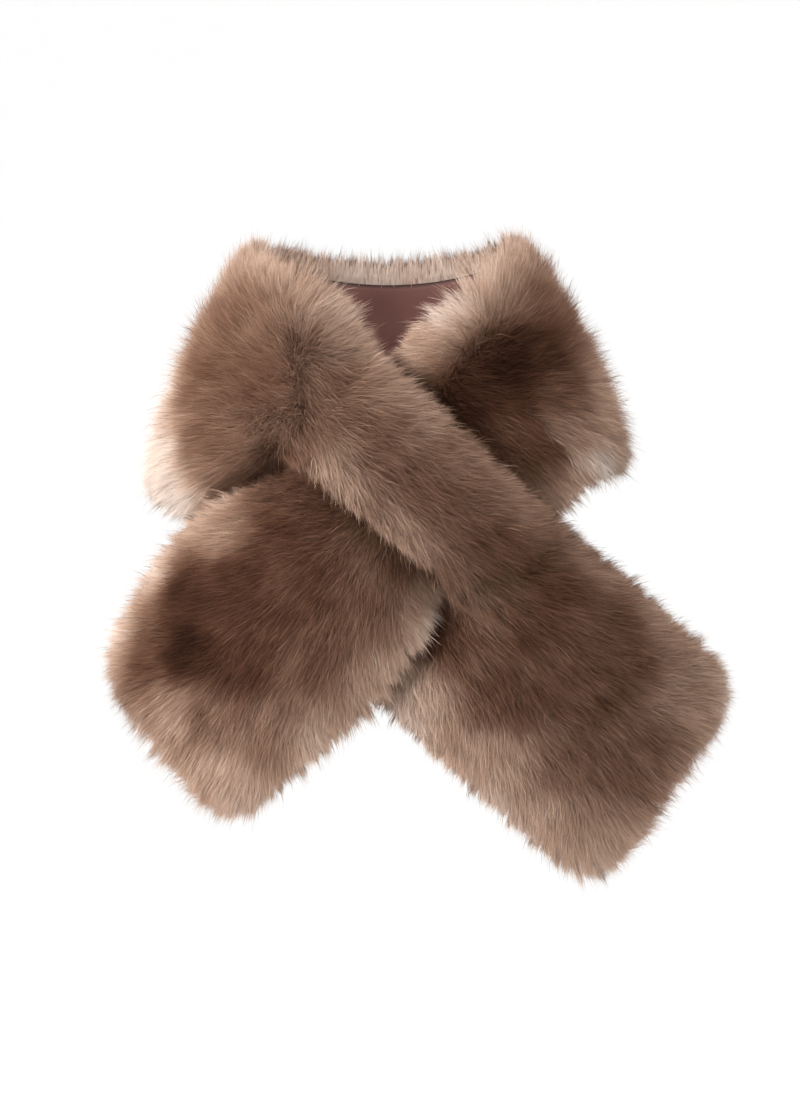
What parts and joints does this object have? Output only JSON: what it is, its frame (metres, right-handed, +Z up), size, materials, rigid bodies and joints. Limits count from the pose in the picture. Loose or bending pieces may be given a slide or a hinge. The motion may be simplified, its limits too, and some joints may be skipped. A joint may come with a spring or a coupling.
{
  "type": "shearling scarf held in its worn shape",
  "caption": "Shearling scarf with a satin lining, shaped round an open neck with its plain end pulled through the slit in its other end.",
  "frame": {"origin": "middle of the inner face of the lining where the scarf rests on the nape", "axes": "+X to the right seen from the front, where the longer slit end hangs; +Y to the back, so the front faces -Y; +Z up"},
  "size_m": [0.3844, 0.2168, 0.401],
  "materials": {
    "fur": "long soft shearling pile, dark at the root and pale at the tip",
    "satin": "plum-brown satin with a soft sheen"
  },
  "bodies": {
    "root": {"slit_end": "fur", "neck_left": "fur", "neck_back": "fur", "neck_right": "fur", "pull_front": "fur", "pull_tail": "fur", "lining_slit_end": "satin", "lining_neck_left": "satin", "lining_neck_back": "satin", "lining_neck_right": "satin", "lining_pull_front": "satin", "lining_pull_tail": "satin"}
  },
  "joints": []
}
